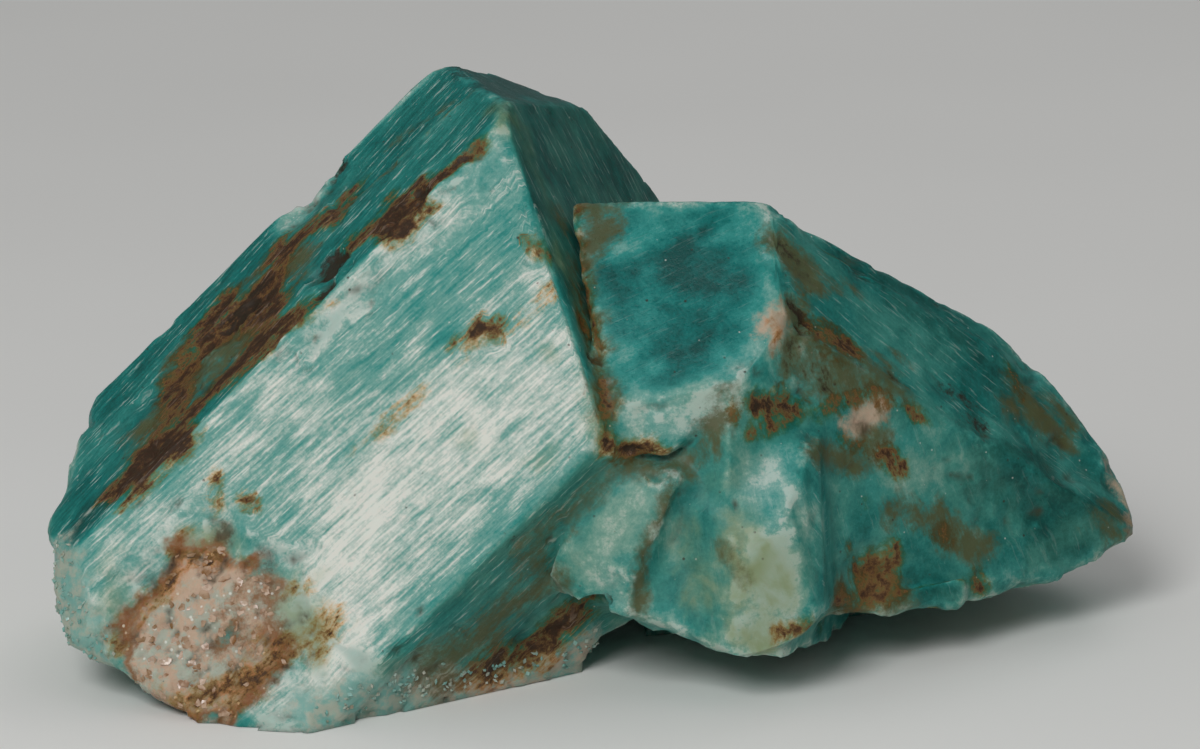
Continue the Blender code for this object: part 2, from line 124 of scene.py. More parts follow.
# A mark is a stain or a clear or milky zone: its kind, strength, width and fade in mm, and the pixels of
# the show view that it passes through.
MARKS = [
    # Rust and grime along the edge between the front and the upper face.
    ("rust", 1.2, 0.35, 0.5, (438, 178), (455, 165), (478, 148)),
    ("grime", 1.0, 0.25, 0.4, (458, 166), (474, 152)),
    ("rust", 1.4, 0.9, 0.7, (388, 226), (405, 212), (420, 198)),
    ("grime", 1.1, 0.30, 0.4, (385, 230), (398, 222)),
    ("grime", 1.1, 0.30, 0.4, (406, 204), (420, 192)),
    ("rust", 1.0, 0.45, 0.6, (345, 250), (378, 222), (392, 200)),
    ("grime", 1.3, 0.65, 0.5, (322, 292), (328, 275), (334, 260)),
    ("grime", 0.9, 0.20, 0.3, (348, 267), (351, 262)),
    ("rust", 0.9, 0.7, 0.7, (318, 298), (300, 312)),
    ("rust", 1.2, 0.8, 0.8, (298, 318), (262, 345), (228, 378)),
    ("rust", 1.1, 0.5, 0.6, (228, 378), (205, 400), (175, 432)),
    ("rust", 1.4, 0.9, 0.7, (122, 490), (150, 462), (178, 440)),
    # Stains and a bleached scar on the upper face.
    ("milk", 1.6, 1.1, 0.8, (290, 214), (320, 185)),
    ("grime", 1.0, 0.35, 0.4, (333, 182), (338, 168)),
    ("rust", 1.0, 0.9, 0.9, (300, 236), (325, 215), (345, 200)),
    ("rust", 1.2, 0.9, 0.9, (262, 305), (272, 280), (282, 252)),
    ("rust", 1.3, 1.5, 1.2, (218, 330), (240, 310), (268, 296)),
    ("grime", 0.7, 1.0, 1.4, (225, 325), (260, 300)),
    ("rust", 1.2, 0.9, 0.9, (172, 395), (195, 365), (212, 335)),
    ("olive", 1.2, 1.7, 1.6, (150, 430), (215, 350), (285, 265)),
    ("rust", 1.0, 0.8, 1.0, (140, 455), (180, 408)),
    ("olive", 0.9, 0.15, 0.4, (392, 144), (430, 118), (466, 95)),
    # The front: milky zones, partly a painted sheen where the front is brightest, clear zones, spots,
    # and a tan hairline.
    ("milk", 0.6, 3.8, 4.5, (560, 350), (500, 400), (420, 440), (360, 520), (330, 640)),
    ("milk", 0.4, 1.8, 2.6, (430, 210), (330, 310), (260, 400), (240, 470)),
    ("milk", 0.4, 1.2, 2.0, (110, 560), (160, 530), (300, 620), (290, 690)),
    ("deep", 0.35, 1.5, 2.0, (545, 205), (500, 240), (430, 330), (370, 390)),
    ("deep", 0.25, 1.0, 1.4, (600, 452), (560, 492), (480, 562), (400, 642)),
    ("deep", 0.7, 0.8, 1.0, (70, 535), (100, 505)),
    ("rust", 1.3, 0.30, 0.4, (536, 247), (541, 256)),
    ("rust", 1.7, 0.40, 0.4, (476, 334), (490, 327), (502, 322)),
    ("rust", 1.4, 0.30, 0.3, (455, 346), (460, 340)),
    ("rust", 0.85, 0.16, 0.4, (552, 290), (520, 318), (470, 350), (400, 412), (353, 450)),
    ("rust", 1.1, 0.4, 0.5, (248, 503), (256, 512)),
    ("rust", 1.0, 0.25, 0.4, (212, 506), (218, 480)),
    ("green", 1.0, 0.2, 0.4, (546, 352), (554, 356)),
    ("green", 1.0, 0.3, 0.4, (461, 436), (468, 440)),
    ("green", 0.8, 0.4, 0.7, (535, 460), (548, 448)),
    # The rounded ridge on the right of the front, and the narrow face beside the valley.
    ("green", 0.9, 0.7, 1.0, (495, 105), (525, 130), (548, 210), (570, 280), (590, 350), (606, 430)),
    ("olive", 0.9, 0.6, 1.0, (560, 215), (575, 280), (592, 340), (604, 410)),
    # The stained patch with its ledge, crust and green lip, and the broken rims.
    ("mica", 1.3, 2.1, 1.5, (205, 590), (165, 640), (165, 670), (210, 680)),
    ("mica", 1.0, 1.3, 1.5, (215, 625), (245, 605), (258, 650), (230, 670)),
    ("rust", 0.9, 0.5, 0.8, (120, 650), (135, 615), (172, 575)),
    ("grime", 0.9, 0.14, 0.2, (172, 555), (205, 559), (245, 562)),
    ("rust", 1.4, 0.25, 0.3, (172, 555), (205, 559), (245, 562)),
    ("blush", 1.1, 0.5, 0.6, (185, 572), (235, 576)),
    ("green", 1.2, 0.8, 0.6, (190, 547), (236, 545)),
    ("rust", 1.0, 0.12, 0.3, (183, 537), (205, 529), (225, 527)),
    ("rust", 0.85, 0.8, 1.2, (150, 712), (200, 706), (245, 688), (285, 645)),
    ("mica", 0.7, 0.9, 1.2, (140, 660), (160, 700), (210, 700), (250, 685), (275, 650)),
    ("green", 0.9, 1.2, 1.8, (235, 600), (290, 600), (300, 640)),
    ("rust", 0.6, 0.6, 1.2, (255, 640), (300, 650), (330, 620)),
    ("rust", 1.0, 0.2, 0.4, (290, 593), (308, 590)),
    ("cream", 1.4, 1.0, 0.9, (320, 714), (360, 706), (420, 690), (520, 684), (590, 650)),
    ("blush", 0.7, 0.6, 0.9, (420, 692), (520, 682), (590, 648)),
    ("cream", 1.2, 1.3, 1.5, (58, 560), (66, 620), (92, 662), (120, 690)),
    ("green", 0.6, 0.8, 1.2, (110, 570), (125, 650)),
    # The lower right face of the main crystal.
    ("rust", 1.1, 0.9, 1.2, (480, 672), (530, 650), (575, 610)),
    ("olive", 1.0, 1.2, 1.6, (440, 672), (500, 620), (545, 578)),
    ("olive", 0.7, 0.6, 1.0, (600, 482), (560, 522), (520, 556)),
    # The valley and the shoulder.
    ("grime", 0.8, 0.20, 0.5, (572, 205), (585, 300), (597, 370), (610, 445)),
    ("rust", 0.9, 0.35, 0.5, (572, 205), (585, 300), (597, 370), (610, 445)),
    ("olive", 1.2, 0.8, 0.8, (582, 205), (602, 212), (585, 265)),
    ("deep", 1.2, 2.0, 2.4, (618, 285), (680, 262), (715, 275), (675, 345)),
    ("milk", 0.9, 0.7, 1.6, (632, 428), (690, 420), (715, 398)),
    ("milk", 0.6, 0.5, 1.2, (725, 380), (760, 340), (778, 300), (772, 240)),
    ("grime", 1.1, 0.20, 0.3, (616, 450), (640, 453), (655, 452)),
    ("rust", 1.2, 0.45, 0.5, (612, 446), (640, 452), (662, 450)),
    ("olive", 1.1, 0.6, 0.8, (620, 462), (660, 470), (700, 458), (725, 410)),
    ("rust", 1.1, 0.25, 0.3, (727, 402), (736, 416)),
    ("rust", 1.1, 0.15, 0.3, (643, 481), (653, 486)),
    # The wing, from its top down.
    ("deep", 0.5, 1.4, 2.0, (840, 250), (940, 320), (1020, 400)),
    ("olive", 1.4, 0.7, 0.8, (782, 242), (800, 262), (815, 282)),
    ("grime", 0.55, 0.4, 0.7, (785, 245), (808, 272)),
    ("olive", 1.0, 0.3, 0.6, (815, 280), (856, 292)),
    ("rust", 1.1, 0.12, 0.3, (790, 291), (812, 297)),
    ("grime", 0.9, 0.4, 0.6, (796, 306), (803, 322), (796, 338)),
    ("olive", 1.2, 0.9, 0.8, (800, 310), (800, 340)),
    ("blush", 1.2, 0.5, 0.6, (770, 330), (783, 318)),
    ("rust", 1.3, 0.10, 0.3, (775, 322), (780, 331)),
    ("grime", 0.5, 0.6, 0.7, (810, 332), (850, 348)),
    ("rust", 0.9, 0.6, 0.9, (812, 330), (850, 350)),
    ("grime", 0.5, 0.5, 0.8, (800, 362), (827, 376)),
    ("olive", 1.0, 1.4, 1.6, (815, 345), (850, 370), (890, 385)),
    ("grime", 0.8, 0.25, 0.3, (893, 374), (905, 382)),
    ("grime", 0.62, 0.35, 0.6, (757, 402), (780, 406), (800, 412)),
    ("rust", 1.1, 0.45, 0.6, (757, 404), (780, 408), (800, 414)),
    ("rust", 1.1, 0.25, 0.4, (750, 432), (785, 425), (820, 412), (872, 392), (893, 403), (920, 417)),
    ("blush", 1.3, 0.6, 0.6, (856, 424), (880, 408)),
    ("rust", 1.3, 0.2, 0.3, (842, 436), (854, 446)),
    ("olive", 1.1, 0.7, 0.8, (820, 450), (850, 462), (880, 440)),
    ("rust", 1.2, 0.3, 0.5, (885, 452), (905, 468)),
    ("milk", 0.4, 1.4, 1.6, (900, 440), (930, 480), (880, 490)),
    ("rust", 1.1, 0.25, 0.35, (865, 505), (869, 515)),
    ("olive", 1.3, 0.8, 0.9, (892, 514), (925, 520), (955, 535), (980, 547)),
    ("rust", 0.7, 0.4, 0.8, (900, 520), (950, 538)),
    ("rust", 0.95, 0.9, 0.8, (862, 566), (886, 562), (884, 590), (858, 600)),
    ("olive", 1.0, 1.2, 1.2, (850, 610), (870, 580), (895, 600)),
    ("rust", 1.1, 0.35, 0.5, (968, 580), (990, 594)),
    ("rust", 1.0, 0.12, 0.4, (1007, 362), (1023, 402)),
    ("olive", 1.2, 0.8, 1.2, (1015, 402), (1072, 425)),
    ("rust", 1.1, 0.12, 0.3, (1050, 413), (1093, 433)),
    ("grime", 0.6, 0.8, 1.2, (940, 388), (990, 428)),
    ("deep", 0.8, 2.2, 2.4, (1000, 470), (1050, 510), (1090, 530)),
    ("deep", 0.7, 0.9, 1.6, (905, 588), (940, 592), (970, 604)),
    ("blush", 0.7, 0.3, 0.8, (1108, 455), (1128, 500), (1137, 538), (1112, 566)),
    ("olive", 0.8, 0.7, 1.2, (1102, 522), (1126, 542)),
    # The knee and the nook.
    ("milk", 0.9, 0.9, 2.0, (780, 478), (808, 488), (812, 512), (790, 535)),
    ("green", 1.1, 1.3, 1.8, (738, 545), (755, 600), (750, 640)),
    ("milk", 0.8, 1.2, 2.4, (755, 560), (775, 600), (765, 640)),
    ("olive", 1.0, 0.25, 0.5, (720, 545), (735, 560), (742, 575)),
    ("olive", 1.3, 0.30, 0.7, (727, 388), (703, 445), (677, 482), (646, 551), (634, 625)),
    ("green", 0.9, 0.8, 1.4, (690, 520), (700, 600)),
    ("milk", 0.5, 0.9, 1.4, (625, 500), (600, 560)),
    ("deep", 0.4, 0.5, 0.9, (578, 590), (596, 596)),
    ("rust", 1.0, 0.3, 0.6, (785, 635), (820, 628)),
]
MARK_KINDS = ("rust", "grime", "olive", "milk", "deep", "mica", "cream", "blush", "green")
MARK_STEP = 6.0

# Closer than this many mm, a corner counts as standing on the floor and stays where it is.
FLOOR_TOUCH = 0.02

# The solid's facets are smaller than this many mm on its broken faces, and an edge between its faces
# counts as sharp above an angle.
BROKEN_FACET = 1.3
SHARP_ANGLE = math.radians(16)

# The points that stand for a sharp edge are about this many mm apart.
EDGE_STEP = 0.2

# Wear is full up to WEAR_NEAR mm from a sharp edge and gone at WEAR_FAR, farther where chips reach out.
# Valleys are filled up to VALLEY_FAR. One pass takes a corner PASS_SHARE of the way.
WEAR_NEAR = 0.2
WEAR_FAR = 0.9
CHIP_REACH = 0.5
BROKEN_WEAR = 0.6
VALLEY_FAR = 1.3
PASS_SHARE = 0.55

# Growth steps take this many levels for a height of 1, and a chip goes this many mm into a worn edge.
STEP_LEVELS = 3.2
CHIP_DEPTH = 0.22

# Passes of smoothing that tell the crystal faces apart.
FACE_PASSES = 12

# A face counts as edge-on when less than this share of its normal points to the camera.
EDGE_ON = 0.15

# The floor's radius and how far it lies below the specimen, in metres.
FLOOR_RADIUS = 4.0
FLOOR_GAP = 0.00003


def length(name, description, default):
    """A setting that is a length in metres."""
    return FloatProperty(name=name, description=description, default=default, unit="LENGTH")


def number(name, description, default):
    """A setting that is a plain number."""
    return FloatProperty(name=name, description=description, default=default)


def shade(name, description, default):
    """A setting that is a colour."""
    return FloatVectorProperty(name=name, description=description, default=default, subtype="COLOR")


class CrystalSettings(bpy.types.PropertyGroup):
    """Sizes and colours of the specimen."""

    spacing: length("Mesh spacing", "Longest edge of the fine mesh", 0.0005)
    wear: IntProperty(name="Edge wear", description="Passes that round the worn edges", default=6)
    filling: IntProperty(
        name="Valley filling", description="Passes that soften the valleys between crystals", default=16)
    ridges: length("Streak ridges", "Height of the ridges along the streaks", 0.00004)
    steps: length("Growth steps", "Height of the low steps along the streaks", 0.00008)
    dents: length("Dents", "Depth of the soft dents", 0.00007)
    fracture: length("Fracture", "Roughness of broken faces", 0.00018)
    wrinkles: length("Wrinkles", "Height of the wrinkles on the stained patch", 0.00016)
    pits: length("Pit depth", "How far the grimy pits go in", 0.00025)
    deep: shade("Deep", "Clearest teal", (0.0, 0.07, 0.062))
    teal: shade("Teal", "Clear zones", (0.001, 0.155, 0.140))
    aqua: shade("Aqua", "Body colour", (0.025, 0.26, 0.232))
    pale: shade("Pale", "Cloudy zones", (0.17, 0.375, 0.33))
    # Milk is also the colour of the painted glints and of the painted sheen on the streaks.
    milk: shade("Milk", "Silky white streaks", (0.73, 0.74, 0.68))
    green: shade("Green", "Dull green zones", (0.03, 0.095, 0.045))
    lime: shade("Lime", "Pale yellow-green zones", (0.28, 0.34, 0.18))
    olive: shade("Olive", "Yellow-green stain", (0.085, 0.08, 0.025))
    gold: shade("Gold", "Yellow-brown part of the iron stain", (0.20, 0.105, 0.030))
    rust: shade("Rust", "Iron stain", (0.115, 0.050, 0.018))
    ochre: shade("Ochre", "Thin iron stain that the crystal shows through", (0.85, 0.50, 0.20))
    umber: shade("Umber", "Dark part of the iron stain", (0.035, 0.018, 0.009))
    crevice: shade("Crevice", "Soil in hollows", (0.045, 0.036, 0.014))
    grime: shade("Grime", "Dark filling of pits", (0.026, 0.017, 0.009))
    cream: shade("Cream", "Broken, bleached rims", (0.40, 0.42, 0.34))
    mica: shade("Mica", "Brown part of the stained patch", (0.25, 0.115, 0.045))
    blush: shade("Blush", "Pinkish cream crystals", (0.54, 0.38, 0.27))
    flake: length("Flake width", "Width of a mica flake", 0.00055)
    flake_density: number("Flake density", "Mica flakes on a square metre of the stained patch", 2.2e6)
    grain: length("Grain width", "Width of a cleavage grain", 0.00028)
    grain_density: number("Grain density", "Cleavage grains on a square metre of a broken rim", 4.0e6)


class StageSettings(bpy.types.PropertyGroup):
    """Floor and light."""

    floor: shade("Floor", "Colour of the floor", (0.82, 0.82, 0.80))
    key: number("Key light", "Power of the main light in watts", 0.98)
    rim: number("Rim light", "Power in watts of the light from behind", 0.12)
    fill: number("Fill", "Brightness of the surroundings", 0.33)


def direction(heading, rise):
    """Unit vector along a heading and a rise in degrees."""
    turn, lift = math.radians(heading), math.radians(rise)
    return Vector((math.cos(lift) * math.cos(turn), math.cos(lift) * math.sin(turn), math.sin(lift)))


def soft_step(low, high, value):
    """0 below low, 1 above high, and a soft step between."""
    share = np.clip((value - low) / (high - low), 0.0, 1.0)
    return share * share * (3 - 2 * share)


class ShowView:
    """The camera's axes, and the way from a pixel of its frame to the specimen."""

    def __init__(self):
        self.back = direction(-90.0, SHOW_RISE)
        self.right = Vector((1, 0, 0))
        self.up = self.back.cross(self.right)
        self.eye = SHOW_TARGET + self.back * SHOW_DISTANCE

    def hit(self, tree, pixel):
        """The point in mm where the line of sight through a pixel meets the specimen, or None."""
        x = (pixel[0] - FRAME_WIDTH / 2) * SHOW_PIXEL
        y = (FRAME_HEIGHT / 2 - pixel[1]) * SHOW_PIXEL
        aim = SHOW_TARGET + self.right * x + self.up * y
        return tree.ray_cast(self.eye, (aim - self.eye).normalized())[0]

    def in_face(self, normal, angle):
        """The direction in a face that runs at an angle above the horizontal in the show view."""
        turn = math.radians(angle)
        seen = self.right * math.cos(turn) + self.up * math.sin(turn)
        depth = self.back.dot(normal)
        if abs(depth) < EDGE_ON:
            return flattened(direction(*MAIN_AXIS), normal)
        return (seen - self.back * (seen.dot(normal) / depth)).normalized()


def flattened(vector, normal):
    """A direction laid into the plane that a normal stands on."""
    return (vector - normal * vector.dot(normal)).normalized()


VIEW = ShowView()


def read_rows(items, name, columns, kind=float):
    """One value of every item as an array of so many columns."""
    values = np.empty(len(items) * columns, dtype=kind)
    items.foreach_get(name, values)
    return values.reshape(-1, columns)


class FineMesh:
    """Corners, edges and triangles of the fine mesh as arrays, in mm."""

    def __init__(self, mesh):
        self.mesh = mesh
        self.points = read_rows(mesh.vertices, "co", 3) / MM
        self.edges = read_rows(mesh.edges, "vertices", 2, np.int64)
        self.triangles = read_rows(mesh.loops, "vertex_index", 1, np.int64).reshape(-1, 3)
        self.degree = np.bincount(self.edges.ravel(), minlength=len(self.points)).astype(float)

    def spread(self, values, passes=1):
        """Each corner's value replaced by the mean of its neighbours', so many times over."""
        flat = values.reshape(len(values), -1)
        for _pass in range(passes):
            means = np.empty_like(flat)
            for column in range(flat.shape[1]):
                source = flat[:, column]
                total = np.bincount(self.edges[:, 0], source[self.edges[:, 1]], len(flat))
                total += np.bincount(self.edges[:, 1], source[self.edges[:, 0]], len(flat))
                means[:, column] = total / self.degree
            flat = means
        return flat.reshape(values.shape)

    def normals(self):
        """Area-weighted corner normals."""
        corners = self.points[self.triangles]
        faces = np.cross(corners[:, 1] - corners[:, 0], corners[:, 2] - corners[:, 0])
        normals = np.zeros_like(self.points)
        for side in range(3):
            for axis in range(3):
                normals[:, axis] += np.bincount(self.triangles[:, side], faces[:, axis], len(normals))
        return normals / np.maximum(np.linalg.norm(normals, axis=1), 1e-12)[:, None]

    def store(self):
        """Writes the points back to the mesh."""
        self.mesh.vertices.foreach_set("co", (self.points * MM).ravel())
        self.mesh.update()

    def attribute(self, name, values):
        """Keeps one number or one vector for each corner as a named attribute of the mesh."""
        kind, key = ("FLOAT_VECTOR", "vector") if values.ndim > 1 else ("FLOAT", "value")
        made = self.mesh.attributes.new(name, kind, "POINT")
        made.data.foreach_set(key, values.astype(np.float32).ravel())


def field(points, size, shift=0.0, octaves=1):
    """Soft noise of a given size in mm at each point, about -1 to 1."""
    offset = Vector((shift, shift * 0.7, -shift))
    scaled = (points / size).tolist()
    if octaves == 1:
        return np.array([noise.noise(Vector(p) + offset) for p in scaled])
    return np.array([noise.fractal(Vector(p) + offset, 0.9, 2.0, octaves) for p in scaled])


def merged_copy(source):
    """A bmesh of a CAD node's mesh with its loose triangles joined."""
    bm = bmesh.new()
    bm.from_mesh(source.data)
    bmesh.ops.remove_doubles(bm, verts=bm.verts[:], dist=1e-7)
    return bm


def sharp_edges(bm, outward):
    """Points in mm along the sharp edges between faces that bend outwards, or inwards."""
    points = []
    for edge in bm.edges:
        if edge.is_convex == outward and edge.calc_face_angle() > SHARP_ANGLE:
            start, end = (vert.co / MM for vert in edge.verts)
            pieces = max(1, int((end - start).length / EDGE_STEP))
            points.extend(start.lerp(end, step / pieces) for step in range(pieces + 1))
    return points


def broken_share(bm, fine):
    """1 at each corner of the fine mesh that lies on a broken face, where the solid's facets are
    small, and 0 on a crystal face."""
    small = [sum(edge.calc_length() for edge in face.edges) / 3 < BROKEN_FACET * MM for face in bm.faces]
    tree = bvhtree.BVHTree.FromBMesh(bm)
    nearest = [tree.find_nearest(Vector(point))[2] for point in (fine.points * MM).tolist()]
    return fine.spread(np.array([float(small[index]) for index in nearest]), 2)


def refined(points, triangles, limit):
    """Points and triangles with every edge that is longer than a limit halved until none is left."""
    while True:
        sides = np.sort(np.stack([triangles, np.roll(triangles, -1, axis=1)], axis=2), axis=2)
        edges, of_side = np.unique(sides.reshape(-1, 2), axis=0, return_inverse=True)
        is_long = np.linalg.norm(points[edges[:, 0]] - points[edges[:, 1]], axis=1) > limit
        if not is_long.any():
            return points, triangles
        middle = np.full(len(edges), -1)
        middle[is_long] = len(points) + np.arange(is_long.sum())
        points = np.vstack([points, points[edges[is_long]].mean(axis=1)])
        middles = middle[of_side.reshape(-1, 3)]
        triangles = cut_triangles(points, triangles, middles)


def cut_triangles(points, triangles, middles):
    """Triangles cut at the given midpoints of their sides, where -1 means that a side is whole."""
    cuts = (middles >= 0).sum(axis=1)
    kept = [triangles[cuts == 0]]
    a, b, c = triangles[cuts == 3].T
    ab, bc, ca = middles[cuts == 3].T
    kept += [np.stack(corners, axis=1) for corners in (
        (a, ab, ca), (ab, b, bc), (ca, bc, c), (ab, bc, ca))]
    for turn in range(3):
        corners, halves = np.roll(triangles, -turn, axis=1), np.roll(middles, -turn, axis=1)
        one = (cuts == 1) & (halves[:, 0] >= 0)
        a, b, c = corners[one].T
        ab = halves[one, 0]
        kept += [np.stack((a, ab, c), axis=1), np.stack((ab, b, c), axis=1)]
        two = (cuts == 2) & (halves[:, 2] < 0)
        a, b, c = corners[two].T
        ab, bc = halves[two, 0], halves[two, 1]
        first = np.linalg.norm(points[a] - points[bc], axis=1)
        second = np.linalg.norm(points[ab] - points[c], axis=1)
        by_a = (first < second)[:, None]
        kept += [
            np.stack((ab, b, bc), axis=1),
            np.where(by_a, np.stack((a, ab, bc), axis=1), np.stack((a, ab, c), axis=1)),
            np.where(by_a, np.stack((a, bc, c), axis=1), np.stack((ab, bc, c), axis=1))]
    return np.vstack(kept)


def nearest_distance(points, targets):
    """Distance in mm from each point to the nearest of the targets."""
    tree = kdtree.KDTree(len(targets))
    for index, target in enumerate(targets):
        tree.insert(target, index)
    tree.balance()
    return np.array([tree.find(Vector(point))[2] for point in points.tolist()])


class Facets:
    """Which crystal face each corner of the fine mesh belongs to, and the grain there."""

    def __init__(self, fine):
        points = fine.points
        worst = np.full(len(points), -np.inf)
        for heading, rise, out in MAIN_FACES:
            normal = np.array(direction(heading, rise))
            worst = np.maximum(worst, (points - np.array(MAIN_CENTRE)) @ normal - out)
        in_main = worst < INSIDE_MAIN
        soft_normals = fine.spread(fine.normals(), FACE_PASSES)
        soft_normals /= np.linalg.norm(soft_normals, axis=1)[:, None]
        match = np.full((len(points), len(FACINGS)), -np.inf)
        for index, facing in enumerate(FACINGS):
            own = in_main if facing.group == "main" else ~in_main
            normal = np.array(direction(facing.heading, facing.rise))
            match[own, index] = soft_normals[own] @ normal
        votes = np.arange(len(FACINGS)) == match.argmax(axis=1)[:, None]
        self.choice = fine.spread(votes.astype(float), FACE_PASSES).argmax(axis=1)
        self.grain = np.zeros_like(points)
        for index, facing in enumerate(FACINGS):
            own = self.choice == index
            self.grain[own] = points[own] @ np.array(self.axes(facing)).T

    @staticmethod
    def axes(facing):
        """Rows: along the streaks of a face, across them, and out of the face."""
        out = direction(facing.heading, facing.rise)
        if facing.streaks is None:
            along = flattened(direction(*MAIN_AXIS), out)
        else:
            along = VIEW.in_face(out, facing.streaks)
        return [along, out.cross(along), out]

    def value(self, name):
        """A number of the faces' looks at each corner."""
        numbers = np.array([getattr(facing, name) for facing in FACINGS])
        return numbers[self.choice]

    def inside(self, fine):
        """1 inside a crystal face, and 0 where two faces and their grain directions meet."""
        meets = self.choice[fine.edges[:, 0]] != self.choice[fine.edges[:, 1]]
        inside = np.ones(len(fine.points))
        inside[fine.edges[meets].ravel()] = 0
        return np.minimum(inside, fine.spread(inside, 2))


def mark_points(tree, path):
    """Points on the specimen along a path of show-view pixels, a few pixels apart."""
    found = []
    for start, end in zip(path, path[1:]):
        steps = max(1, int(math.dist(start, end) / MARK_STEP))
        for step in range(steps + 1):
            share = step / steps
            pixel = (start[0] + (end[0] - start[0]) * share, start[1] + (end[1] - start[1]) * share)
            point = VIEW.hit(tree, pixel)
            if point is not None:
                found.append(point)
    return found


def paint_marks(fine, tree, wander):
    """How strongly each kind of mark shows at each corner: its strength on the path, 0 past the fade."""
    painted = {kind: np.zeros(len(fine.points)) for kind in MARK_KINDS}
    for kind, strength, width, fade, *path in MARKS:
        targets = mark_points(tree, path)
        if not targets:
            continue
        middle = sum(targets, Vector()) / len(targets)
        reach = max((target - middle).length for target in targets) + width + 2 * fade
        near = np.where(np.linalg.norm(fine.points - np.array(middle), axis=1) < reach)[0]
        gap = nearest_distance(fine.points[near], targets) + wander[near] * fade
        amount = strength * (1 - soft_step(width - fade / 2, width + fade / 2, gap))
        painted[kind][near] = np.maximum(painted[kind][near], amount)
    return painted


def hidden_stains(points, normals):
    """Stains on the sides that the show view doesn't see, as kind and amount at each corner."""
    away = soft_step(-0.15, 0.35, normals @ -np.array(VIEW.back))
    streaky = points @ np.array([[1.0, 0.15, 0.2], [0.1, 1.0, 0.3], [0.5, 0.3, 1.0]])
    stains = {
        "rust": soft_step(0.22, 0.55, field(streaky, 5.5, 3.1, 3)),
        "olive": soft_step(0.15, 0.60, field(points, 8.0, 9.4, 2)) * 0.8,
        "grime": soft_step(0.52, 0.70, field(points, 2.6, 5.7, 2)),
        "milk": soft_step(0.00, 0.45, field(points, 9.0, 1.3, 2)) * 1.2,
        "deep": soft_step(0.10, 0.55, field(points, 10.0, 7.7, 2)) * 0.7,
    }
    return {kind: away * amount for kind, amount in stains.items()}


def soften(fine, outward_gap, inward_gap, broken, chips, settings):
    """Rounds the worn edges, fills the valleys and takes the facets off the broken faces."""
    worn = 1 - soft_step(WEAR_NEAR, WEAR_FAR + CHIP_REACH * chips, outward_gap)
    worn = np.maximum(worn, BROKEN_WEAR * broken)
    filled = 1 - soft_step(WEAR_NEAR, VALLEY_FAR, inward_gap)
    for turn in range(max(settings.wear, settings.filling)):
        share = (worn if turn < settings.wear else 0) + (filled if turn < settings.filling else 0)
        share = np.clip(share, 0, 1)[:, None] * PASS_SHARE
        fine.points += share * (fine.spread(fine.points) - fine.points)
    return worn


def shape_surface(fine, facets, painted, gaps, broken, settings):
    """Wears the edges, and raises steps, ridges and fracture on the fine mesh."""
    original = fine.points.copy()
    standing = original[:, 2] < FLOOR_TOUCH
    chips = field(original, 1.7, 4.4, 2)
    worn = soften(fine, *gaps, broken, chips, settings)
    normals = fine.spread(fine.normals(), 2)
    grain = facets.grain
    streaky = facets.value("streaky") * (1 - broken)
    steps = np.round(field(grain / (28.0, 1.2, 6.0), 1.0, 2.2, 2) * STEP_LEVELS) / STEP_LEVELS
    ridges = field(grain / (7.0, 0.62, 1.0), 1.0, 6.1)
    dents = field(original, 4.5, 8.8, 2)
    lumps = field(original, 1.5, 1.9, 3)
    crumbs = field(original, 0.75, 3.7, 2)
    wrinkles = 1 - 2 * np.abs(field(grain / (2.2, 0.8, 1.0), 1.0, 7.3, 2))
    rough = np.clip(broken + 0.6 * painted["mica"] + 0.5 * painted["cream"], 0, 1)
    height = streaky * (steps * settings.steps + ridges * settings.ridges) / MM
    height += settings.dents / MM * dents
    height += rough * settings.fracture / MM * (0.75 * lumps + 0.45 * crumbs)
    height += np.clip(painted["mica"], 0, 1) * settings.wrinkles / MM * wrinkles
    height -= painted["grime"] * settings.pits / MM
    height -= CHIP_DEPTH * worn * soft_step(0.25, 0.7, chips)
    height[standing] = 0
    fine.points += normals * height[:, None]
    fine.points[standing] = original[standing]
    fine.points[:, 2] = np.maximum(fine.points[:, 2], np.where(standing, 0.0, FLOOR_TOUCH))
    low, high = (np.array(corner) / MM for corner in CAD_BOX)
    fine.points = np.clip(fine.points, low, high)


def curvature(fine, passes):
    """How far each corner stands out of (positive) or lies in (negative) its surroundings, in mm."""
    return np.einsum("ij,ij->i", fine.points - fine.spread(fine.points, passes), fine.normals())


